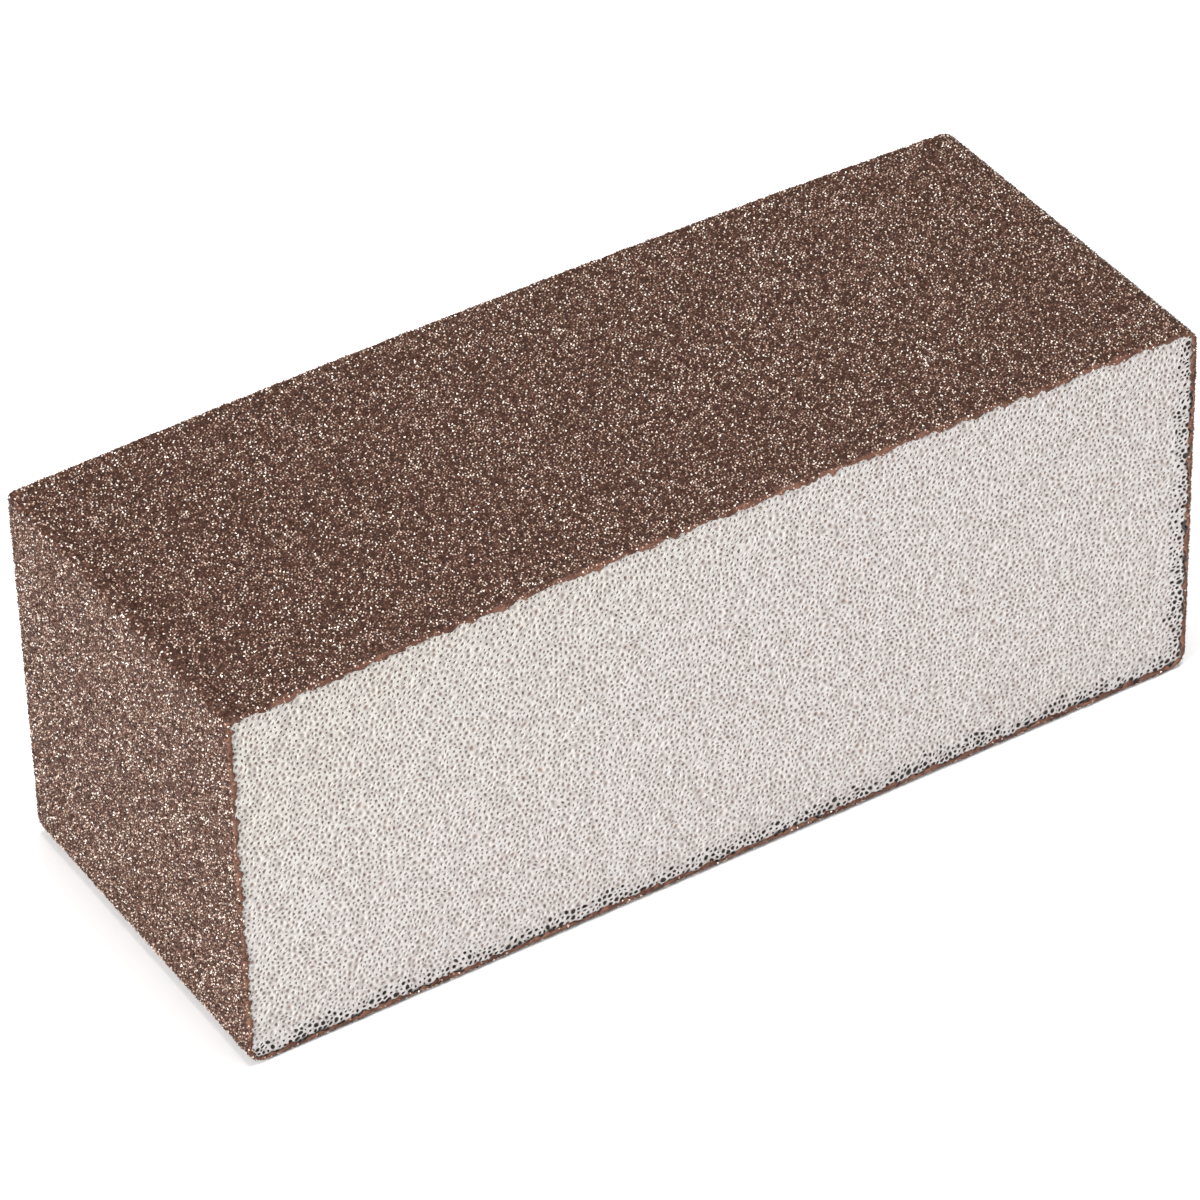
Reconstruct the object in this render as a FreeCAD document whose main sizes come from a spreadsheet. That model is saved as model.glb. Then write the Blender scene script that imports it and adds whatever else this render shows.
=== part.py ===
# A foam sanding block. A bar of foam is coated with abrasive on its top, its underside and both
# ends, and the coat turns round the corners between them. The front and the back are cut faces
# and stay bare, so the edges of the coats show there as a thin line round the foam.
#
# +X runs along the block, -Y is the bare front face and +Z is up. The origin is the middle of
# the footprint, on the surface that the block lies on. Sizes are in millimetres.

import FreeCAD
import Part
import math
import os
import Sketcher

SIZES = [
    ("block_length", 100.0, "overall length, along X"),
    ("block_depth", 38.0, "from one cut face to the other, along Y"),
    ("block_height", 39.0, "overall height, along Z"),
    ("corner_radius", 1.8, "outside radius where one coated face turns into the next"),
    ("resin_thickness", 0.4, "resin that soaks into the foam and holds the grit"),
    ("grit_thickness", 0.3, "layer of abrasive grain on the resin"),
]

# Formulas on the sheet's cells. A coat's two faces are given by how far they lie below the
# outside of the block.
AT_OUTSIDE = "0"
UNDER_GRIT = "Sizes.grit_thickness"
UNDER_RESIN = "(Sizes.grit_thickness + Sizes.resin_thickness)"
FLAT_REACH = "Sizes.block_length / 2 - Sizes.corner_radius"
FOAM_REACH = "Sizes.block_length / 2 - " + UNDER_RESIN
LOW_CENTRE = "Sizes.corner_radius"
HIGH_CENTRE = "Sizes.block_height - Sizes.corner_radius"

# A point in a sketch is the number of a line or an arc, and which of its points is meant.
START = 1
END = 2
CENTRE = 3
ORIGIN = (-1, START)

LEFT = -1
RIGHT = 1
LOW = -1
HIGH = 1
# The quarter of the circle that each corner takes, counted from +X towards +Z.
QUARTERS = {(RIGHT, HIGH): 0, (LEFT, HIGH): 1, (LEFT, LOW): 2, (RIGHT, LOW): 3}


def make_sizes(document):
    """The spreadsheet that every sub-part takes its sizes from."""
    sheet = document.addObject("Spreadsheet::Sheet", "Sizes")
    for row, (name, value, note) in enumerate(SIZES, start=1):
        sheet.set(f"A{row}", name)
        sheet.set(f"B{row}", str(value))
        sheet.set(f"C{row}", note)
        sheet.setAlias(f"B{row}", name)
    document.recompute()


def new_body(document, name):
    body = document.addObject("PartDesign::Body", name)
    body.Label = name
    return body


def front_sketch(body):
    """A sketch on the body's own XZ plane, which lies midway between the two cut faces."""
    sketch = body.newObject("Sketcher::SketchObject", body.Name + "_outline")
    planes = [item for item in body.Origin.OriginFeatures if item.Role == "XZ_Plane"]
    sketch.AttachmentSupport = [(planes[0], "")]
    sketch.MapMode = "FlatFace"
    return sketch


def size_of(sketch, formula):
    """What a formula comes to, for drawing a line near its place before it is constrained."""
    return float(sketch.evalExpression(formula))


def hold(sketch, kind, first, last, formula):
    """Constrain the distance between two points, and tie it to a formula."""
    drawn = size_of(sketch, formula)
    index = sketch.addConstraint(Sketcher.Constraint(kind, *first, *last, drawn))
    sketch.setExpression(f"Constraints[{index}]", formula)


def hold_aside(sketch, side, point, formula):
    """Hold a point to the left or the right of the origin."""
    ends = (ORIGIN, point) if side == RIGHT else (point, ORIGIN)
    hold(sketch, "DistanceX", *ends, formula)


def hold_above(sketch, point, formula):
    """Hold a point above the base of the block."""
    hold(sketch, "DistanceY", ORIGIN, point, formula)


def draw_rectangle(sketch, reach, high, thickness):
    """A rectangle that reaches as far to the left as to the right."""
    half = size_of(sketch, reach)
    top = size_of(sketch, high)
    bottom = top - size_of(sketch, thickness)
    corners = [(-half, bottom), (half, bottom), (half, top), (-half, top)]
    points = [FreeCAD.Vector(x, z, 0) for x, z in corners]
    directions = ["Horizontal", "Vertical", "Horizontal", "Vertical"]
    for index in range(4):
        sketch.addGeometry(Part.LineSegment(points[index], points[(index + 1) % 4]))
    for index, direction in enumerate(directions):
        following = (index + 1) % 4
        sketch.addConstraint(Sketcher.Constraint("Coincident", index, END, following, START))
        sketch.addConstraint(Sketcher.Constraint(direction, index))
    hold_aside(sketch, LEFT, (0, START), reach)
    hold_aside(sketch, RIGHT, (0, END), reach)
    hold_above(sketch, (2, START), high)
    hold(sketch, "DistanceY", (1, START), (1, END), thickness)


def draw_corner(sketch, side, level, inset):
    """A quarter circle round one corner, this far below the block's outside. Returns the point
    where it meets the flat face and the point where it meets the end face."""
    height = HIGH_CENTRE if level == HIGH else LOW_CENTRE
    radius = "Sizes.corner_radius - " + inset
    circle = Part.Circle()
    circle.Center = FreeCAD.Vector(side * size_of(sketch, FLAT_REACH), size_of(sketch, height), 0)
    circle.Radius = size_of(sketch, radius)
    begin = QUARTERS[side, level] * math.pi / 2
    arc = sketch.addGeometry(Part.ArcOfCircle(circle, begin, begin + math.pi / 2))
    flat_end, side_end = (END, START) if side == level else (START, END)
    sketch.addConstraint(Sketcher.Constraint("Vertical", arc, flat_end, arc, CENTRE))
    sketch.addConstraint(Sketcher.Constraint("Horizontal", arc, side_end, arc, CENTRE))
    hold_aside(sketch, side, (arc, CENTRE), FLAT_REACH)
    hold_above(sketch, (arc, CENTRE), height)
    index = sketch.addConstraint(Sketcher.Constraint("Radius", arc, circle.Radius))
    sketch.setExpression(f"Constraints[{index}]", radius)
    return (arc, flat_end), (arc, side_end)


def join(sketch, first, last):
    """A straight line from one arc's end to another's."""
    line = sketch.addGeometry(Part.LineSegment(sketch.getPoint(*first), sketch.getPoint(*last)))
    sketch.addConstraint(Sketcher.Constraint("Coincident", line, START, *first))
    sketch.addConstraint(Sketcher.Constraint("Coincident", line, END, *last))


def pad_to_depth(body, sketch):
    """Raise the outline both ways from the middle, as far as the two cut faces."""
    pad = body.newObject("PartDesign::Pad", body.Name + "_pad")
    pad.Profile = sketch
    pad.SideType = "Symmetric"
    pad.setExpression("Length", "Sizes.block_depth")
    return pad


def runs_along_depth(edge):
    direction = edge.Vertexes[1].Point - edge.Vertexes[0].Point
    return abs(direction.y) == direction.Length


def make_foam_core(document):
    """The foam bar: bare on the two cut faces, rounded along the four edges that are coated."""
    body = new_body(document, "foam_core")
    sketch = front_sketch(body)
    height = "Sizes.block_height - " + UNDER_RESIN
    draw_rectangle(sketch, FOAM_REACH, height, height + " - " + UNDER_RESIN)
    pad = pad_to_depth(body, sketch)
    document.recompute()
    edges = enumerate(pad.Shape.Edges, start=1)
    rounded = [f"Edge{number}" for number, edge in edges if runs_along_depth(edge)]
    fillet = body.newObject("PartDesign::Fillet", "foam_core_corners")
    fillet.Base = (pad, rounded)
    fillet.setExpression("Radius", "Sizes.corner_radius - " + UNDER_RESIN)
    return body


def make_flat_coat(document, name, level, outer, inner):
    """A coat on the top or the underside, as long as the flat between the corners."""
    body = new_body(document, name)
    sketch = front_sketch(body)
    high = inner if level == LOW else "Sizes.block_height - " + outer
    draw_rectangle(sketch, FLAT_REACH, high, f"{inner} - {outer}")
    pad_to_depth(body, sketch)
    return body


def make_end_coat(document, name, side, outer, inner):
    """A coat on one end, which turns round both corners as far as the flat coats."""
    body = new_body(document, name)
    sketch = front_sketch(body)
    flat_ends = {}
    for inset in (outer, inner):
        high_flat, high_side = draw_corner(sketch, side, HIGH, inset)
        low_flat, low_side = draw_corner(sketch, side, LOW, inset)
        join(sketch, high_side, low_side)
        flat_ends[inset] = (high_flat, low_flat)
    for outer_end, inner_end in zip(flat_ends[outer], flat_ends[inner]):
        join(sketch, outer_end, inner_end)
    pad_to_depth(body, sketch)
    return body


def make_coats(document):
    """Resin and grit on each of the four coated faces."""
    layers = [("resin_coat", UNDER_GRIT, UNDER_RESIN), ("grit_coat", AT_OUTSIDE, UNDER_GRIT)]
    coats = []
    for layer, outer, inner in layers:
        coats.append(make_flat_coat(document, "top_" + layer, HIGH, outer, inner))
        coats.append(make_flat_coat(document, "bottom_" + layer, LOW, outer, inner))
        coats.append(make_end_coat(document, "left_end_" + layer, LEFT, outer, inner))
        coats.append(make_end_coat(document, "right_end_" + layer, RIGHT, outer, inner))
    return coats


def check(document, bodies):
    """Stop unless every object was computed and every sub-part is one sound solid."""
    document.recompute()
    for item in document.Objects:
        if "Invalid" in item.State or "Error" in item.State:
            raise RuntimeError(f"{item.Label} could not be computed: {item.State}")
    for body in bodies:
        shape = body.Shape
        if shape.isNull() or not shape.isValid() or len(shape.Solids) != 1:
            raise RuntimeError(f"{body.Label} is not one valid solid")


def write_steps(bodies):
    os.makedirs("parts", exist_ok=True)
    for body in bodies:
        body.Shape.exportStep(f"parts/{body.Label}.step")
        print(f"{body.Label}: {body.Shape.Volume:.1f} mm3")


document = FreeCAD.newDocument("sanding_block")
make_sizes(document)
sub_parts = [make_foam_core(document)] + make_coats(document)
check(document, sub_parts)
write_steps(sub_parts)
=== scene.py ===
# %% [markdown]
# # A foam sanding block
# This lesson builds the looks of a foam sanding block: a bar of pale foam with brown abrasive
# grain glued to its top, its underside and both ends. The front and back are cut faces where the
# bare foam shows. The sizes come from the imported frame, so every piece is made in its right place
# and nothing is moved afterwards.

# %% Load the frame
import math

import bmesh
import bpy
import numpy as np
from mathutils import Matrix, Vector, noise
from mathutils.geometry import delaunay_2d_cdt


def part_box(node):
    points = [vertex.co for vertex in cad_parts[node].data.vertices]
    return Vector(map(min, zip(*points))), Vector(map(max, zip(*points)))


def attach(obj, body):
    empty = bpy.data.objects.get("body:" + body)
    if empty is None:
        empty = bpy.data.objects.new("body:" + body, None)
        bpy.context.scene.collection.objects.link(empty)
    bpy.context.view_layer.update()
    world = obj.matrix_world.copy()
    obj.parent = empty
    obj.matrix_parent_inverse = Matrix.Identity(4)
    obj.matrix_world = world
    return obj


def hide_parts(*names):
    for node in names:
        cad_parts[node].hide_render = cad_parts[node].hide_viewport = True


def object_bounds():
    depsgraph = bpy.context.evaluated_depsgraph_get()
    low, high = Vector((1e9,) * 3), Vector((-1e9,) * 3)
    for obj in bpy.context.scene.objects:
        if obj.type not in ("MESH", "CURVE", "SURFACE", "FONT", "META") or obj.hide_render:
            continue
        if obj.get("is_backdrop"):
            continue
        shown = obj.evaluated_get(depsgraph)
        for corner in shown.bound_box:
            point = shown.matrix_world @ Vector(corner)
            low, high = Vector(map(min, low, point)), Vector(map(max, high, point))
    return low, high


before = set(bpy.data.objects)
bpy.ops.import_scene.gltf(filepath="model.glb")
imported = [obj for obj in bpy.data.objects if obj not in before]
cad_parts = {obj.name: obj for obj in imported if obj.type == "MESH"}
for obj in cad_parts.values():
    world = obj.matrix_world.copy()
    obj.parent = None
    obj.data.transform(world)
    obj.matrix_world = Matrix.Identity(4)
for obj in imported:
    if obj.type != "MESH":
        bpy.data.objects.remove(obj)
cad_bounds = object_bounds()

print("nodes:", sorted(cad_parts))

# %% [markdown]
# The block's outside, the grain layer and the resin under it are nested one inside the other, so
# the boxes of three nodes give every thickness. The scene is in metres, and a millimetre is given
# a name because the small sizes read better in millimetres.

# %% Read the sizes
MM = 0.001

block_low, block_high = (Vector(corner) for corner in cad_bounds)
LENGTH, DEPTH, HEIGHT = block_high - block_low
grit_low, grit_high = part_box("top_grit_coat")
resin_low, resin_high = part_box("top_resin_coat")
end_low, end_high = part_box("right_end_grit_coat")
GRIT = grit_high.z - grit_low.z
RESIN = resin_high.z - resin_low.z
CORNER = end_high.x - end_low.x
print(f"block {LENGTH / MM:.1f} x {DEPTH / MM:.1f} x {HEIGHT / MM:.1f} mm")
print(f"grit {GRIT / MM:.2f}, resin {RESIN / MM:.2f}, corner {CORNER / MM:.2f} mm")

# %% [markdown]
# Node trees are easier to read as sums than as lists of links. `Wire` wraps an output socket, and
# its operators add Math nodes, so `1 - mask * 0.5` builds two nodes. `Graph.add` makes any other
# node: it takes the type, the settings that have to be set first, and the values or wires that go
# into its sockets. The same two classes serve for materials and for Geometry Nodes.

# %% Write node trees as sums
class Wire:
    def __init__(self, graph, socket):
        self.graph = graph
        self.socket = socket

    def other(self, name):
        """Another output of the node that this wire comes from."""
        return Wire(self.graph, self.socket.node.outputs[name])

    def maths(self, operation, *values, clamp=False):
        settings = {"operation": operation, "use_clamp": clamp}
        return self.graph.add("ShaderNodeMath", settings, dict(enumerate(values)))

    def __add__(self, value):
        return self.maths("ADD", self, value)

    def __sub__(self, value):
        return self.maths("SUBTRACT", self, value)

    def __rsub__(self, value):
        return self.maths("SUBTRACT", value, self)

    def __mul__(self, value):
        return self.maths("MULTIPLY", self, value)

    def __truediv__(self, value):
        return self.maths("DIVIDE", self, value)

    def clamped(self):
        return self.maths("ADD", self, 0.0, clamp=True)


class Graph:
    def __init__(self, tree):
        self.tree = tree
        tree.nodes.clear()

    def add(self, kind, settings=None, inputs=None):
        """Add a node and return the wire of its first output in use."""
        node = self.tree.nodes.new(kind)
        for name, value in (settings or {}).items():
            if name == "stops":
                set_stops(node.color_ramp, value)
            else:
                setattr(node, name, value)
        for name, value in (inputs or {}).items():
            if isinstance(name, int):
                socket = node.inputs[name]
            else:
                socket = next(s for s in node.inputs if s.name == name and s.enabled)
            for one in value if isinstance(value, list) else [value]:
                if isinstance(one, Wire):
                    self.tree.links.new(one.socket, socket)
                else:
                    socket.default_value = one
        outputs = [socket for socket in node.outputs if socket.enabled]
        return Wire(self, outputs[0]) if outputs else node


def set_stops(ramp, stops):
    """Give a colour ramp its stops, as (place, colour) pairs from left to right."""
    while len(ramp.elements) < len(stops):
        ramp.elements.new(1.0)
    for element, (place, colour) in zip(ramp.elements, stops):
        element.position = place
        element.color = (*colour, 1.0)


print("node helpers ready")

# %% [markdown]
# A Geometry Nodes tree gets its sizes through named inputs. A modifier stores each input under
# the socket's identifier, so `run_tree` looks the identifier up by name. It then keeps the
# evaluated result as a plain mesh and removes the modifier. Set Material leaves an empty slot in
# front of its own, so the slots are cleared and the one material is put back.

# %% Make and run Geometry Nodes trees
def start_tree(name, sizes):
    """A tree with a geometry socket each way and a named input for each size."""
    tree = bpy.data.node_groups.new(name, "GeometryNodeTree")
    graph = Graph(tree)
    tree.interface.new_socket("Geometry", in_out="INPUT", socket_type="NodeSocketGeometry")
    tree.interface.new_socket("Geometry", in_out="OUTPUT", socket_type="NodeSocketGeometry")
    for size, value in sizes.items():
        kind = {int: "Int", float: "Float", Vector: "Vector"}.get(type(value), "Material")
        tree.interface.new_socket(size, in_out="INPUT", socket_type="NodeSocket" + kind)
    return graph, graph.add("NodeGroupInput")


def end_tree(graph, geometry):
    graph.add("NodeGroupOutput", inputs={"Geometry": geometry})
    return graph.tree


def run_tree(piece, tree, sizes):
    modifier = piece.modifiers.new(tree.name, "NODES")
    modifier.node_group = tree
    for item in tree.interface.items_tree:
        if item.in_out == "INPUT" and item.name in sizes:
            modifier[item.identifier] = sizes[item.name]
    depsgraph = bpy.context.evaluated_depsgraph_get()
    result = piece.evaluated_get(depsgraph)
    mesh = bpy.data.meshes.new_from_object(
        result, preserve_all_data_layers=True, depsgraph=depsgraph
    )
    piece.modifiers.remove(modifier)
    mesh.materials.clear()
    mesh.materials.append(sizes["Material"])
    piece.data = mesh


def new_piece(name, mesh):
    piece = bpy.data.objects.new(name, mesh)
    bpy.context.scene.collection.objects.link(piece)
    return piece


print("tree helpers ready")

# %% [markdown]
# Every finish here is one Principled shader. Its colours are blended with Mix nodes, since Math
# nodes would turn them grey.

# %% Make materials
def start_material(name):
    material = bpy.data.materials.new(name)
    material.use_nodes = True
    return material, Graph(material.node_tree)


def end_material(graph, inputs):
    shader = graph.add("ShaderNodeBsdfPrincipled", inputs=inputs)
    graph.add("ShaderNodeOutputMaterial", inputs={"Surface": shader})


def blend(graph, factor, low, high):
    """low where factor is 0 and high where it is 1."""
    colours = {"Factor": factor, "A": low, "B": high}
    return graph.add("ShaderNodeMix", {"data_type": "RGBA"}, colours)


def attribute(graph, name):
    return graph.add("ShaderNodeAttribute", {"attribute_name": name}).other("Fac")


print("material helpers ready")

# %% [markdown]
# The real block isn't quite the plain bar of the design. Its top crowns by less than a millimetre
# in the middle of its length, its base arches less, and its top left corner is sharper than the
# others. The same small change of shape is given to each finished mesh. That corner is drawn out
# towards a square one. Then the middle of the length is raised and the top's ends are lowered, so
# that the top keeps about the height of the design.

# %% Shape every piece alike
CROWN = 0.85 * MM
BASE_ARCH = 0.11 * MM
SQUARENESS = 8
MEAN_ARCH = 2 / 3


def sharpen(points):
    """Turn the top left round corner into a superellipse, which is squarer."""
    level = points[:, 2] - (HEIGHT - CORNER)
    out = -points[:, 0] - (LENGTH / 2 - CORNER)
    near = (level > 0) & (out > 0)
    sides = np.column_stack([out, level])[near] / CORNER
    growth = np.linalg.norm(sides, axis=1) / (sides**SQUARENESS).sum(axis=1) ** (1 / SQUARENESS)
    shift = sides * (growth - 1.0)[:, None] * CORNER
    points[near, 0] -= shift[:, 0]
    points[near, 2] += shift[:, 1]


def settle(mesh):
    """Sharpen the top left corner, then arch the length, more at the top than at the base."""
    points = np.empty(len(mesh.vertices) * 3, np.float32)
    mesh.vertices.foreach_get("co", points)
    points = points.reshape(-1, 3)
    sharpen(points)
    arch = 1.0 - (points[:, 0] / (LENGTH / 2)) ** 2
    share = points[:, 2] / HEIGHT
    points[:, 2] += arch * BASE_ARCH + share * (arch - MEAN_ARCH) * (CROWN - BASE_ARCH)
    mesh.vertices.foreach_set("co", points.ravel())
    mesh.update()


print(f"crown {CROWN / MM:.2f} mm over {LENGTH / MM:.0f} mm")

# %% [markdown]
# ## The foam
# A knife through foam leaves bubbles cut open: a net of thin walls round dark hollows. The net
# is a Voronoi pattern, so it can be had without any search: scatter points, join them into
# triangles, and take the dual, which puts one cell round each point. The points start on an even
# lattice and are shaken, and a few are left out, so that some pores are larger.

# %% Scatter the bubbles over the cut face
CELL = 0.56 * MM
SHAKE = 0.44
LEFT_OUT = 0.05
FOAM_INSET = GRIT + 0.4 * RESIN
RIM_GAP = 0.55 * CELL
SAME_POINT = 1e-6


def edge_distance(x, z, inset):
    """How far points lie inside the block's rounded outline, less the inset."""
    across = np.abs(x) - (LENGTH / 2 - CORNER)
    along = np.abs(z - HEIGHT / 2) - (HEIGHT / 2 - CORNER)
    past_corner = np.hypot(np.maximum(across, 0), np.maximum(along, 0))
    return CORNER - inset - past_corner - np.minimum(np.maximum(across, along), 0)


def outline(inset, spacing):
    """Points evenly round the block's rounded outline, anticlockwise, as x and z."""
    radius = CORNER - inset
    turns = max(2, round(radius * math.pi / 2 / spacing))
    corners = []
    for quarter, (side_x, side_z) in enumerate(((1, 1), (-1, 1), (-1, -1), (1, -1))):
        angles = (quarter + np.arange(turns + 1) / turns) * math.pi / 2
        x = side_x * (LENGTH / 2 - CORNER) + radius * np.cos(angles)
        z = HEIGHT / 2 + side_z * (HEIGHT / 2 - CORNER) + radius * np.sin(angles)
        corners.append(np.column_stack([x, z]))
    points = []
    for corner, following in zip(corners, corners[1:] + corners[:1]):
        points.extend(corner)
        gap = following[0] - corner[-1]
        steps = round(np.linalg.norm(gap) / spacing)
        points.extend(corner[-1] + gap * step / steps for step in range(1, steps))
    return np.array(points)


def bubble_centres():
    random = np.random.default_rng(11)
    rows = np.arange(0, HEIGHT, CELL * math.sqrt(3) / 2)
    x, z = np.meshgrid(np.arange(-LENGTH / 2, LENGTH / 2, CELL), rows)
    x[1::2] += CELL / 2
    x += random.uniform(-SHAKE, SHAKE, x.shape) * CELL
    z += random.uniform(-SHAKE, SHAKE, z.shape) * CELL
    kept = edge_distance(x, z, FOAM_INSET) > RIM_GAP
    kept &= random.random(x.shape) > LEFT_OUT
    return np.column_stack([x[kept], z[kept]])


def triangulated_cut():
    """The front cut face as one flat sheet of triangles, looking towards -Y."""
    border = outline(FOAM_INSET, CELL)
    points = np.concatenate([border, bubble_centres()]) / MM
    count = len(border)
    edges = [(index, (index + 1) % count) for index in range(count)]
    inside_only = 1
    places = [Vector(point) for point in points]
    joined = delaunay_2d_cdt(places, edges, [], inside_only, SAME_POINT)
    flat, faces = joined[0], joined[2]
    mesh = bpy.data.meshes.new("foam_cut")
    vertices = [(x * MM, -DEPTH / 2, z * MM) for x, z in flat]
    mesh.from_pydata(vertices, [], faces)
    return mesh


foam = new_piece("foam_bar", triangulated_cut())
print("bubbles:", len(foam.data.vertices), "triangles:", len(foam.data.polygons))

# %% [markdown]
# The tree turns that sheet into a closed bar. The dual gives the cells, the rim is carried back
# to the other cut face, and the two faces and the walls are merged. Both faces are then left a
# little uneven, as a blade leaves them.

# %% Make a bar of cells
def bar_of_cells(graph, given):
    add = graph.add
    backwards = add("ShaderNodeCombineXYZ", inputs={"Y": given.other("Depth")})
    cells = add("GeometryNodeDualMesh", inputs={"Mesh": given, "Keep Boundaries": True})
    on_rim = add(
        "FunctionNodeCompare",
        {"data_type": "INT", "operation": "EQUAL"},
        {"A": add("GeometryNodeInputMeshEdgeNeighbors"), "B": 1},
    )
    walls = add(
        "GeometryNodeExtrudeMesh",
        {"mode": "EDGES"},
        {"Mesh": cells, "Selection": on_rim, "Offset": backwards, "Offset Scale": 1.0},
    )
    moved = add("GeometryNodeTransform", inputs={"Geometry": cells, "Translation": backwards})
    back = add("GeometryNodeFlipFaces", inputs={"Mesh": moved})
    both = add("GeometryNodeJoinGeometry", inputs={"Geometry": [walls, back]})
    merge = {"Geometry": both, "Distance": given.other("Merge")}
    closed = add("GeometryNodeMergeByDistance", inputs=merge)
    waves = add("ShaderNodeTexNoise", inputs={"Scale": 0.9 / MM, "Detail": 2.0})
    lift = (waves - 0.5) * given.other("Unevenness")
    offset = add("ShaderNodeCombineXYZ", inputs={"Y": lift})
    return add("GeometryNodeSetPosition", inputs={"Geometry": closed, "Offset": offset})


print("bar helper ready")

# %% [markdown]
# Each cell of a cut face then gets a ring, which is the wall of the bubble, and a tapering hollow.
# The `pore` attribute is 0 on the net and rises to the bottom of each hollow. The side walls have
# no hollows, because the coats cover them.

# %% Open the bubbles
PIT = 0.004


def open_bubbles(graph, given, bar, on_cut):
    add = graph.add
    ring = add(
        "GeometryNodeExtrudeMesh",
        {"mode": "FACES"},
        {"Mesh": bar, "Selection": on_cut, "Offset Scale": 0.0, "Individual": True},
    )
    in_ring = ring.other("Top")
    mouths = {"Min": given.other("Smallest mouth"), "Max": given.other("Largest mouth")}
    mouth = add("FunctionNodeRandomValue", {"data_type": "FLOAT"}, mouths)
    opened = add(
        "GeometryNodeScaleElements",
        {"domain": "FACE"},
        {"Geometry": ring, "Selection": in_ring, "Scale": mouth},
    )
    share = add("FunctionNodeRandomValue", {"data_type": "FLOAT"}, {"Min": -1.0, "Max": -0.4})
    hollow = add(
        "GeometryNodeExtrudeMesh",
        {"mode": "FACES"},
        {
            "Mesh": opened,
            "Selection": in_ring,
            "Offset Scale": given.other("Pore depth") * share,
            "Individual": True,
        },
    )
    at_bottom = hollow.other("Top")
    drawn_in = add(
        "GeometryNodeScaleElements",
        {"domain": "FACE"},
        {"Geometry": hollow, "Selection": at_bottom, "Scale": PIT},
    )
    marked = add(
        "GeometryNodeStoreNamedAttribute",
        {"data_type": "FLOAT", "domain": "POINT"},
        {"Geometry": drawn_in, "Selection": at_bottom, "Name": "pore", "Value": 1.0},
    )
    merge = {"Geometry": marked, "Distance": given.other("Merge")}
    pointed = add("GeometryNodeMergeByDistance", inputs=merge)
    # A random strength per pore, so each pore takes its own amount of painted shade in the finish.
    dark = add("FunctionNodeRandomValue", {"data_type": "FLOAT"}, {"Min": 0.25, "Max": 1.0})
    pore = add("GeometryNodeInputNamedAttribute", {"data_type": "FLOAT"}, {"Name": "pore"})
    return add(
        "GeometryNodeStoreNamedAttribute",
        {"data_type": "FLOAT", "domain": "POINT"},
        {"Geometry": pointed, "Name": "pore", "Value": pore * dark},
    )


print("bubble helper ready")

# %% [markdown]
# The map lays the two cut faces flat, one above the other, and the side walls in a thin strip at
# the top, so that a bake has room for every pore.

# %% Lay the faces flat and finish the tree
FACE_ON_MAP = 0.46
BETWEEN_FACES = 0.48
MARGIN = 0.01
CUT_SLOPE = 0.05


def lay_flat(graph, bar, on_cut):
    add = graph.add
    at = add("ShaderNodeSeparateXYZ", inputs={"Vector": add("GeometryNodeInputPosition")})
    behind = at.maths("GREATER_THAN", at.other("Y"), 0.0)
    on_face = at.other("Z") / HEIGHT * FACE_ON_MAP + MARGIN + behind * BETWEEN_FACES
    on_wall = at.other("Y") / DEPTH * 0.02 + 0.98
    up = add(
        "GeometryNodeSwitch",
        {"input_type": "FLOAT"},
        {"Switch": on_cut, "False": on_wall, "True": on_face},
    )
    flat = add("ShaderNodeCombineXYZ", inputs={"X": at / LENGTH * 0.98 + 0.5, "Y": up})
    return add(
        "GeometryNodeStoreNamedAttribute",
        {"data_type": "FLOAT2", "domain": "CORNER"},
        {"Geometry": bar, "Name": "OFBake", "Value": flat},
    )


def foam_tree():
    sizes = {"Depth": 0.0, "Smallest mouth": 0.0, "Largest mouth": 0.0, "Pore depth": 0.0}
    sizes |= {"Unevenness": 0.0, "Merge": 0.0, "Material": None}
    graph, given = start_tree("open_cells", sizes)
    add = graph.add
    facing = add("ShaderNodeSeparateXYZ", inputs={"Vector": add("GeometryNodeInputNormal")})
    slope = facing.maths("ABSOLUTE", facing.other("Y"))
    steep = {"A": slope, "B": CUT_SLOPE}
    on_cut = add("FunctionNodeCompare", {"operation": "GREATER_THAN"}, steep)
    bar = bar_of_cells(graph, given)
    opened = open_bubbles(graph, given, bar, on_cut)
    mapped = lay_flat(graph, opened, on_cut)
    whole = add("GeometryNodeRealizeInstances", inputs={"Geometry": mapped})
    material = given.other("Material")
    finished = add("GeometryNodeSetMaterial", inputs={"Geometry": whole, "Material": material})
    return end_tree(graph, finished)


print("foam tree ready")

# %% [markdown]
# The foam is a pale warm grey, yellowed a little towards the top left. Its pores are darkened with
# depth as painted shade, each by its own amount. Near the base and the right end the net and the
# pores are darkened to nearly black.

# %% Foam finish
PALE = (0.555, 0.525, 0.51, 1.0)
YELLOWED = (0.545, 0.525, 0.46, 1.0)
DULL = (0.40, 0.355, 0.335, 1.0)
SHADED = (0.32, 0.235, 0.195, 1.0)
NEAR_BLACK = (0.012, 0.008, 0.007, 1.0)
DARK_BAND_WIDTH = 1.7 * MM


def dark_edge_band(graph, place):
    """1 at the base and right coats, falling to 0 and below further away from them."""
    at = graph.add("ShaderNodeSeparateXYZ", inputs={"Vector": place})
    x, z = at.other("X"), at.other("Z")
    coat = GRIT + RESIN
    from_base = (z - coat) / DARK_BAND_WIDTH
    from_right = (LENGTH / 2 - coat - x) / DARK_BAND_WIDTH
    return 1.0 - at.maths("MINIMUM", from_base, from_right)


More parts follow.
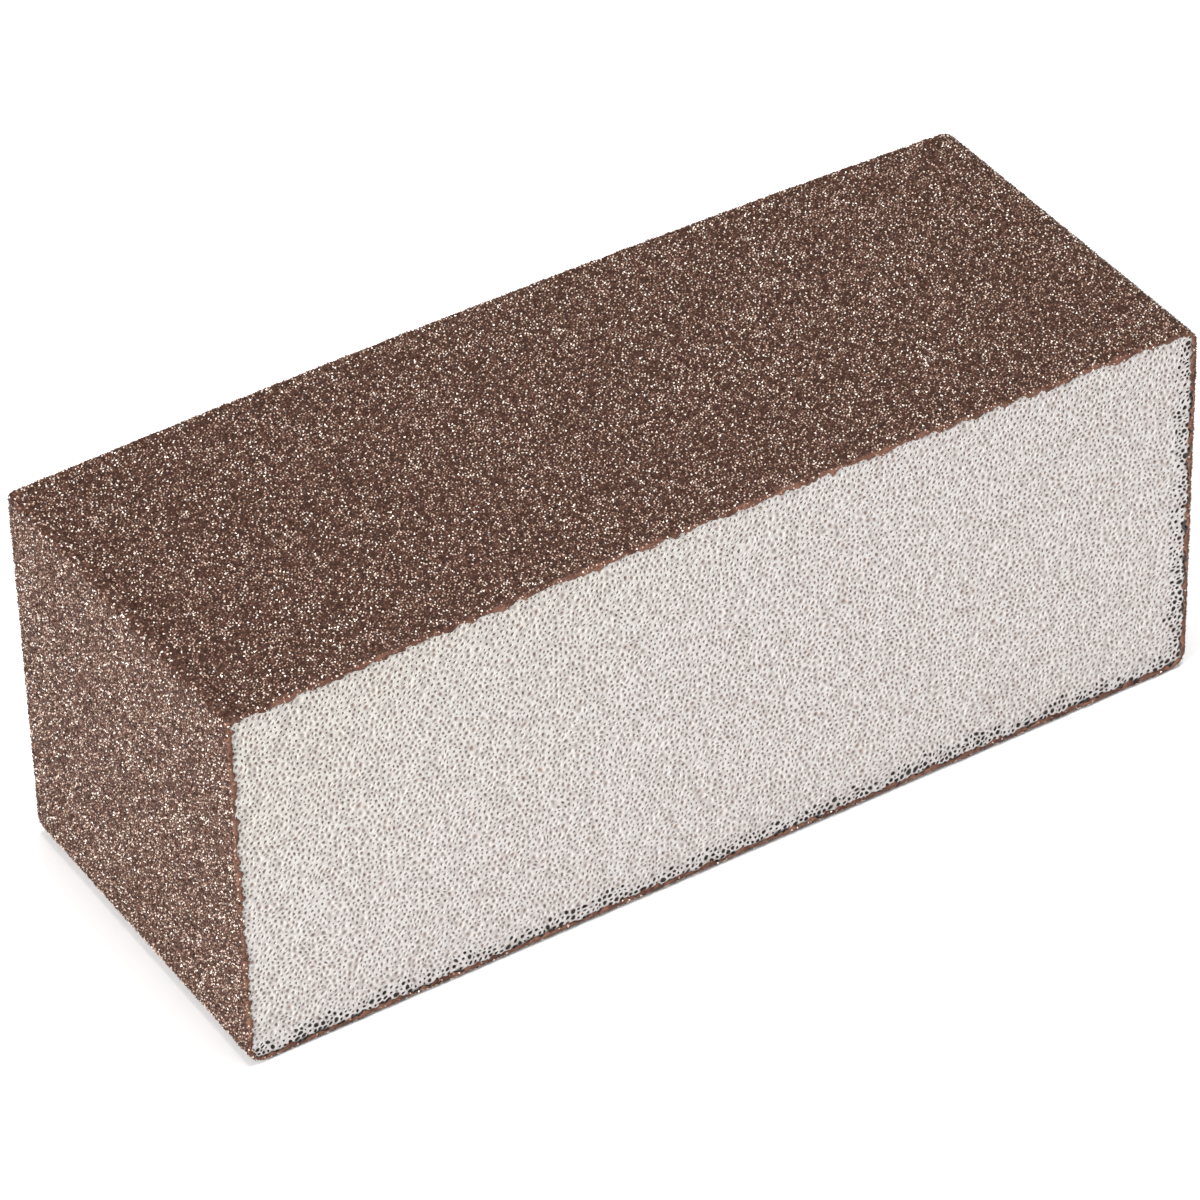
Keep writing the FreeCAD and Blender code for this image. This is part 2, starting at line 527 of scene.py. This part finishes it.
def foam_finish():
    material, graph = start_material("open_cell_foam")
    add = graph.add
    place = add("ShaderNodeTexCoord").other("Object")
    patches = add("ShaderNodeTexNoise", inputs={"Vector": place, "Scale": 45.0, "Detail": 2.0})
    specks = add("ShaderNodeTexNoise", inputs={"Vector": place, "Scale": 2300.0, "Detail": 2.0})
    clumps = add("ShaderNodeTexNoise", inputs={"Vector": place, "Scale": 700.0, "Detail": 2.0})
    pore = attribute(graph, "pore")
    at = add("ShaderNodeSeparateXYZ", inputs={"Vector": place})
    aged = (at.other("Z") / HEIGHT - at.other("X") / LENGTH) * 0.9 + patches * 1.2 - 1.15
    whole = blend(graph, aged.clamped(), PALE, YELLOWED)
    net = blend(graph, (specks * 5.0 - 2.2).clamped(), whole, DULL)
    # Painted shade: each pore is blended towards SHADED by its depth, broken up by the clumps
    # noise.
    hollow = (pore * 1.3 + (clumps - 0.5) * pore * 3.0).clamped()
    pore_shaded = blend(graph, hollow, net, SHADED)
    # Near the base and the right end the net and the pores are darkened to nearly black.
    edge = dark_edge_band(graph, place)
    blackened_pores = ((edge + (clumps - 0.5) * 2.4).clamped() * pore * 14.0).clamped()
    blackened_net = ((edge - 0.88 + (clumps - 0.5) * 0.9) * 7.0).clamped()
    blackening = edge.maths("MAXIMUM", blackened_pores, blackened_net)
    colour = blend(graph, blackening, pore_shaded, NEAR_BLACK)
    bump = add("ShaderNodeBump", inputs={"Strength": 0.4, "Distance": 0.06 * MM, "Height": specks})
    end_material(graph, {"Base Color": colour, "Roughness": 0.5, "Normal": bump})
    return material


foam_sizes = {
    "Depth": DEPTH,
    "Smallest mouth": 0.40,
    "Largest mouth": 0.86,
    "Pore depth": 0.36 * MM,
    "Unevenness": 0.16 * MM,
    "Merge": 0.003 * MM,
    "Material": foam_finish(),
}
run_tree(foam, foam_tree(), foam_sizes)
settle(foam.data)
print("foam faces:", len(foam.data.polygons))

# %% [markdown]
# ## The resin
# The grain is held in a coat of brown resin. Each coat is a thin closed shell: the top and base
# coats are flat, and an end coat turns round both of its corners. A coat is cut at the front and
# back with the foam, so its edge there is ragged and shows the bare resin, redder than the rest.

# %% Follow one coat round the block
STEP = 0.24 * MM
TURN_STEPS = 6


def coat_path(coat):
    """Corner centres and outward directions along a coat, as two arrays of x and z."""
    flat = LENGTH / 2 - CORNER
    low, high = CORNER, HEIGHT - CORNER
    if coat in ("top", "bottom"):
        across = np.linspace(-flat, flat, round(2 * flat / STEP))
        side = 1 if coat == "top" else -1
        centres = np.column_stack([across, np.full_like(across, high if side == 1 else low)])
        return centres, np.tile([0.0, side], (len(across), 1))
    turn = np.linspace(0, math.pi / 2, TURN_STEPS + 1)[1:]
    level = np.linspace(low, high, round((high - low) / STEP))
    angles = np.concatenate([turn - math.pi / 2 - turn[0], 0 * level, turn])
    below, above = np.full(TURN_STEPS, low), np.full(TURN_STEPS, high)
    heights = np.concatenate([below, level, above])
    side = 1 if coat == "right_end" else -1
    centres = np.column_stack([np.full_like(heights, side * flat), heights])
    return centres, np.column_stack([side * np.cos(angles), np.sin(angles)])


print("steps along the top coat:", len(coat_path("top")[0]))

# %% [markdown]
# The resin rises between the grains, so its outside lies about half-way through the grain layer.
# One ring of points is laid round the coat's section at each step of the path. The rings are then
# joined, and a cap closes each end. Noise from `mathutils` moves the points at the cut edges, so
# that the coat is thicker in some places and stands a little proud in others. Two marks are kept:
# `bare` on the points of the cut edge, and `bears_grit`, which says how thickly grain sticks to a
# face. It is full on the outside, half on the cut and none on the side that faces the foam.

# %% Make a resin coat
BED = 0.55 * GRIT
RIM = 0.22 * MM
ROUNDED = 0.14 * MM
PROUD = 0.07 * MM
ROWS = 76
ON_CUT = 0.5


def ragged(centre, turn, y):
    """Lumpy noise, mostly from -1 to 1, at a place on the coat."""
    spot = Vector((centre[0] + turn[0] * CORNER, y, centre[1] + turn[1] * CORNER))
    return 0.8 * noise.noise(spot / (1.1 * MM)) + 1.1 * noise.noise(spot / (0.45 * MM))


def coat_ring(centre, turn, rows):
    """One ring round the coat's section, from the front edge over the outside to the back."""
    ring = [(y, BED + 0.03 * MM * ragged(centre, turn, y)) for y in rows]
    for end in (0, -1):
        y, inset = ring[end]
        ring[end] = (y, inset + ROUNDED)
    for y in (DEPTH / 2, -DEPTH / 2):
        thickness = RESIN * max(0.3, 0.85 + 0.95 * ragged(centre, turn, y * 1.1))
        ring.append((y, GRIT + thickness))
    points = []
    for y, inset in ring:
        if abs(y) > DEPTH / 2 - RIM / 2:
            y += math.copysign(PROUD * (1.0 + 1.2 * ragged(centre, turn, y * 1.3)), y)
        spot = centre + (CORNER - inset) * turn
        points.append((spot[0], y, spot[1]))
    return points


def resin_coat(coat):
    middle = np.linspace(-DEPTH / 2 + RIM, DEPTH / 2 - RIM, ROWS)
    rows = [-DEPTH / 2, *middle, DEPTH / 2]
    rings = [coat_ring(centre, turn, rows) for centre, turn in zip(*coat_path(coat))]
    count = len(rings[0])
    vertices = [point for ring in rings for point in ring]
    faces = []
    for start in range(0, count * (len(rings) - 1), count):
        for here in range(count):
            after = (here + 1) % count
            faces.append((start + here, start + after, start + count + after, start + count + here))
    faces.append(tuple(range(count)))
    faces.append(tuple(range(len(vertices) - count, len(vertices))))
    mesh = bpy.data.meshes.new(coat + "_resin")
    mesh.from_pydata(vertices, [], faces)
    grown = bmesh.new()
    grown.from_mesh(mesh)
    bmesh.ops.recalc_face_normals(grown, faces=grown.faces)
    grown.to_mesh(mesh)
    grown.free()

    bears = np.full(len(faces), ON_CUT)
    by_ring = bears[:-2].reshape(-1, count)
    by_ring[:, : len(rows) - 1] = 1.0
    by_ring[:, len(rows)] = 0.0
    bears[-2:] = 0.0
    mesh.attributes.new("bears_grit", "FLOAT", "FACE").data.foreach_set("value", bears)
    bare = np.zeros((len(rings), count))
    bare[:, [0, -1, len(rows) - 1, len(rows)]] = 1.0
    mesh.attributes.new("bare", "FLOAT", "POINT").data.foreach_set("value", bare.ravel())
    mesh.shade_smooth()
    return new_piece(coat + "_resin", mesh)


COATS = ("top", "bottom", "left_end", "right_end")
resins = {coat: resin_coat(coat) for coat in COATS}
print({coat: len(piece.data.polygons) for coat, piece in resins.items()})

# %% [markdown]
# Between the grains the resin is painted near-black, as painted shade among the grains; where it
# was cut it shows its own clearer red-brown, with duller patches.
# The colour follows the `bare` mark, broken up with noise so that the line isn't drawn with a
# ruler.

# %% Resin finish
RESIN_DEEP_SHADE = (0.014, 0.005, 0.003, 1.0)
RESIN_LIGHT_SHADE = (0.066, 0.028, 0.018, 1.0)
WORN = (0.070, 0.028, 0.018, 1.0)
FRESH = (0.20, 0.094, 0.063, 1.0)


def resin_finish():
    material, graph = start_material("brown_resin")
    add = graph.add
    place = add("ShaderNodeTexCoord").other("Object")
    mottle = add("ShaderNodeTexNoise", inputs={"Vector": place, "Scale": 2400.0, "Detail": 3.0})
    patches = add("ShaderNodeTexNoise", inputs={"Vector": place, "Scale": 700.0, "Detail": 3.0})
    bare = attribute(graph, "bare")
    # Painted shade: the resin between the grains is a mottled near-black, far darker than its own
    # red-brown.
    shade_between_grains = blend(graph, mottle, RESIN_DEEP_SHADE, RESIN_LIGHT_SHADE)
    worn = (patches * 3.2 - 1.1).clamped()
    cut = blend(graph, worn, WORN, FRESH)
    shown = (bare * 1.1 + (mottle - 0.5) * 2.4).clamped()
    colour = blend(graph, shown, shade_between_grains, cut)
    relief = {"Strength": 0.8, "Distance": 0.1 * MM, "Height": mottle}
    bump = add("ShaderNodeBump", inputs=relief)
    finish = {"Base Color": colour, "Roughness": 0.6, "Specular IOR Level": 0.15}
    end_material(graph, finish | {"Normal": bump})
    return material


brown_resin = resin_finish()
for coat, piece in resins.items():
    piece.data.materials.append(brown_resin)
print("resin finished")

# %% [markdown]
# ## The grain
# The abrasive is modelled as chips a few tenths of a millimetre across, set close together.
# Geometry Nodes scatter it: points no nearer than about one grain apart, and on each a four-sided
# chip that is turned and stretched at random. Four faces are enough for a grain this small. Each
# grain carries two random numbers, `tone` and `polish`; the first picks its colour,
# which at the top end is a painted glint. They are stored as its place on the map, so a bake reads
# the colour that the grain already has.

# %% Scatter the grain
DENSER_THAN_FITS = 5e7
ON_MAP = 0.004


def grain_tree():
    sizes = {"Spacing": 0.0, "Smallest": Vector(), "Largest": Vector(), "Lift": 0.0}
    sizes |= {"Seed": 0, "Material": None}
    graph, given = start_tree("set_grain", sizes)
    add = graph.add
    seed = given.other("Seed")
    bears = add("GeometryNodeInputNamedAttribute", {"data_type": "FLOAT"}, {"Name": "bears_grit"})
    scattered = add(
        "GeometryNodeDistributePointsOnFaces",
        {"distribute_method": "POISSON"},
        {
            "Mesh": given,
            "Distance Min": given.other("Spacing"),
            "Density Max": DENSER_THAN_FITS,
            "Density Factor": bears,
            "Seed": seed,
        },
    )
    raised = add(
        "ShaderNodeVectorMath",
        {"operation": "SCALE"},
        {"Vector": scattered.other("Normal"), "Scale": given.other("Lift")},
    )
    points = add("GeometryNodeSetPosition", inputs={"Geometry": scattered, "Offset": raised})
    pyramid = add(
        "GeometryNodeMeshCone",
        inputs={"Vertices": 3, "Radius Top": 0.0, "Radius Bottom": 1.0, "Depth": 1.4},
    )
    low = (0.0, 0.0, -0.35)
    centred = add("GeometryNodeTransform", inputs={"Geometry": pyramid, "Translation": low})
    chip = add(
        "GeometryNodeStoreNamedAttribute",
        {"data_type": "FLOAT_VECTOR", "domain": "POINT"},
        {"Geometry": centred, "Name": "spot", "Value": add("GeometryNodeInputPosition")},
    )
    stretch = add(
        "FunctionNodeRandomValue",
        {"data_type": "FLOAT_VECTOR"},
        {"Min": given.other("Smallest"), "Max": given.other("Largest"), "Seed": seed},
    )
    full_turn = (math.tau, math.tau, math.tau)
    turn = add(
        "FunctionNodeRandomValue",
        {"data_type": "FLOAT_VECTOR"},
        {"Min": (0.0, 0.0, 0.0), "Max": full_turn, "Seed": seed + 1},
    )
    grains = add(
        "GeometryNodeInstanceOnPoints",
        inputs={"Points": points, "Instance": chip, "Rotation": turn, "Scale": stretch},
    )
    for step, name in enumerate(("tone", "polish")):
        number = add(
            "FunctionNodeRandomValue",
            {"data_type": "FLOAT"},
            {"Min": 0.02, "Max": 0.98, "Seed": seed + 2 + step},
        )
        grains = add(
            "GeometryNodeStoreNamedAttribute",
            {"data_type": "FLOAT", "domain": "INSTANCE"},
            {"Geometry": grains, "Name": name, "Value": number},
        )
    whole = add("GeometryNodeRealizeInstances", inputs={"Geometry": grains})
    corner = add("GeometryNodeInputNamedAttribute", {"data_type": "FLOAT_VECTOR"}, {"Name": "spot"})
    part = add("ShaderNodeSeparateXYZ", inputs={"Vector": corner})
    tone = add("GeometryNodeInputNamedAttribute", {"data_type": "FLOAT"}, {"Name": "tone"})
    polish = add("GeometryNodeInputNamedAttribute", {"data_type": "FLOAT"}, {"Name": "polish"})
    lies_at = add(
        "ShaderNodeCombineXYZ",
        inputs={"X": tone + part * ON_MAP, "Y": polish + part.other("Y") * ON_MAP},
    )
    mapped = add(
        "GeometryNodeStoreNamedAttribute",
        {"data_type": "FLOAT2", "domain": "CORNER"},
        {"Geometry": whole, "Name": "OFBake", "Value": lies_at},
    )
    material = given.other("Material")
    finished = add("GeometryNodeSetMaterial", inputs={"Geometry": mapped, "Material": material})
    return end_tree(graph, finished)


print("grain tree ready")

# %% [markdown]
# Most grains are dark red-brown and some are tan, at random. A few are nearly white: painted
# glints, light caught on facets given as colour. Some are smoother than others, which `polish`
# sets. The colour and the gloss both come from the map.

# %% Grain finish
def grain_finish():
    material, graph = start_material("brown_grain")
    add = graph.add
    on_map = add("ShaderNodeUVMap", {"uv_map": "OFBake"})
    read = add("ShaderNodeSeparateXYZ", inputs={"Vector": on_map})
    # The top of the ramp, nearly white, is a painted glint: light caught on a facet, given to a few
    # grains as colour.
    stops = [
        (0.0, (0.018, 0.008, 0.005)),
        (0.28, (0.078, 0.038, 0.026)),
        (0.50, (0.225, 0.130, 0.090)),
        (0.80, (0.45, 0.325, 0.250)),
        (1.0, (0.90, 0.83, 0.75)),
    ]
    colour = add("ShaderNodeValToRGB", {"stops": stops}, {"Fac": read})
    gloss = 0.48 - read.other("Y") * 0.30
    finish = {"Base Color": colour, "Roughness": gloss, "Specular IOR Level": 0.3}
    end_material(graph, finish)
    return material


SPACING = 0.212 * MM
SMALLEST = 0.075 * MM
LARGEST = 0.165 * MM
LIFT = 0.02 * MM
tree = grain_tree()
brown_grain = grain_finish()
grains = {}
for seed, coat in enumerate(COATS):
    piece = new_piece(coat + "_grains", resins[coat].data)
    grain_sizes = {
        "Spacing": SPACING,
        "Smallest": (SMALLEST, SMALLEST, SMALLEST),
        "Largest": (LARGEST, LARGEST, LARGEST),
        "Lift": LIFT,
        "Seed": 10 * seed + 5,
        "Material": brown_grain,
    }
    run_tree(piece, tree, grain_sizes)
    settle(piece.data)
    grains[coat] = piece
for piece in resins.values():
    settle(piece.data)
print({coat: len(piece.data.polygons) for coat, piece in grains.items()})

# %% [markdown]
# The frame's node that each piece stands for is hidden.
# Each piece says which node it stands for and which finish slot it takes.

# %% Tie the pieces to the frame
def declare(piece, node):
    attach(piece, "root")
    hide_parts(node)


declare(foam, "foam_core")
for coat in COATS:
    declare(resins[coat], coat + "_resin_coat")
    declare(grains[coat], coat + "_grit_coat")
print("pieces declared:", 1 + 2 * len(COATS))

# %% [markdown]
# ## Floor, light and camera
# The block stands on a large pale floor. One lamp stands to the left and a broader one hangs
# above, and the world fills in the shadows.

# %% Lay the floor
FLOOR_HALF = 1.5


def make_floor():
    half = FLOOR_HALF
    mesh = bpy.data.meshes.new("floor")
    corners = [(-half, -half, 0), (half, -half, 0), (half, half, 0), (-half, half, 0)]
    mesh.from_pydata(corners, [], [(0, 1, 2, 3)])
    material, graph = start_material("pale_floor")
    place = graph.add("ShaderNodeTexCoord").other("Object")
    grain = graph.add("ShaderNodeTexNoise", inputs={"Vector": place, "Scale": 40.0})
    colour = blend(graph, grain, (0.86, 0.86, 0.86, 1.0), (0.88, 0.88, 0.88, 1.0))
    end_material(graph, {"Base Color": colour, "Roughness": 0.9})
    mesh.materials.append(material)
    return new_piece("floor", mesh)


make_floor()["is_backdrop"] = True
print("floor laid")

# %% [markdown]
# A lamp is aimed by turning its -Z axis towards the block, which `to_track_quat` works out.

# %% Hang the lamps
def soft_lamp(name, place, width, power):
    light = bpy.data.lights.new(name, "AREA")
    light.shape = "SQUARE"
    light.size = width
    light.energy = power
    lamp = bpy.data.objects.new(name, light)
    lamp.location = place
    lamp.rotation_euler = (-Vector(place)).to_track_quat("-Z", "Y").to_euler()
    bpy.context.scene.collection.objects.link(lamp)


soft_lamp("key_lamp", (-1.3, -0.3, 0.5), 0.4, 31.0)
soft_lamp("top_lamp", (0.2, 0.0, 1.3), 0.8, 17.5)

world = bpy.data.worlds.new("studio")
world.use_nodes = True
background = world.node_tree.nodes["Background"]
background.inputs["Color"].default_value = (1.0, 1.0, 1.0, 1.0)
background.inputs["Strength"].default_value = 0.44
bpy.context.scene.world = world
bpy.context.scene.view_settings.view_transform = "Standard"
print("lamps hung")

# %% [markdown]
# The camera looks down at the front left corner through a long lens. It is rolled a little, and
# it aims just below and to the left of the block's middle.

# %% Set the camera
AZIMUTH = math.radians(-31.33)
ELEVATION = math.radians(38.05)
ROLL = math.radians(-1.65)
DISTANCE = 0.6027
AIM_HEIGHT = 0.01925
AIM_ASIDE = -1.306 * MM
AIM_BELOW = -1.708 * MM
LENS = 202.17
SENSOR = 36.0


def set_camera():
    towards_camera = Vector((
        math.sin(AZIMUTH) * math.cos(ELEVATION),
        -math.cos(AZIMUTH) * math.cos(ELEVATION),
        math.sin(ELEVATION),
    ))
    level = towards_camera.to_track_quat("Z", "Y").to_matrix()
    turned = level @ Matrix.Rotation(ROLL, 3, "Z")
    aim = Vector((0.0, 0.0, AIM_HEIGHT)) + turned @ Vector((AIM_ASIDE, AIM_BELOW, 0.0))
    lens = bpy.data.cameras.new("camera")
    lens.lens = LENS
    lens.sensor_width = SENSOR
    camera = bpy.data.objects.new("camera", lens)
    camera.matrix_world = Matrix.Translation(aim + towards_camera * DISTANCE) @ turned.to_4x4()
    bpy.context.scene.collection.objects.link(camera)
    bpy.context.scene.camera = camera


set_camera()
print("camera set")

# %% [markdown]
# ## Compare the sizes
# The finished block's box is written beside the design's box.

# %% Write the sizes and finish
visual_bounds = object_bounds()
design = cad_bounds[1] - cad_bounds[0]
visual = visual_bounds[1] - visual_bounds[0]
for axis, wanted, made in zip("xyz", design, visual):
    print(f"{axis}: design {wanted / MM:.2f} mm, visual {made / MM:.2f} mm")
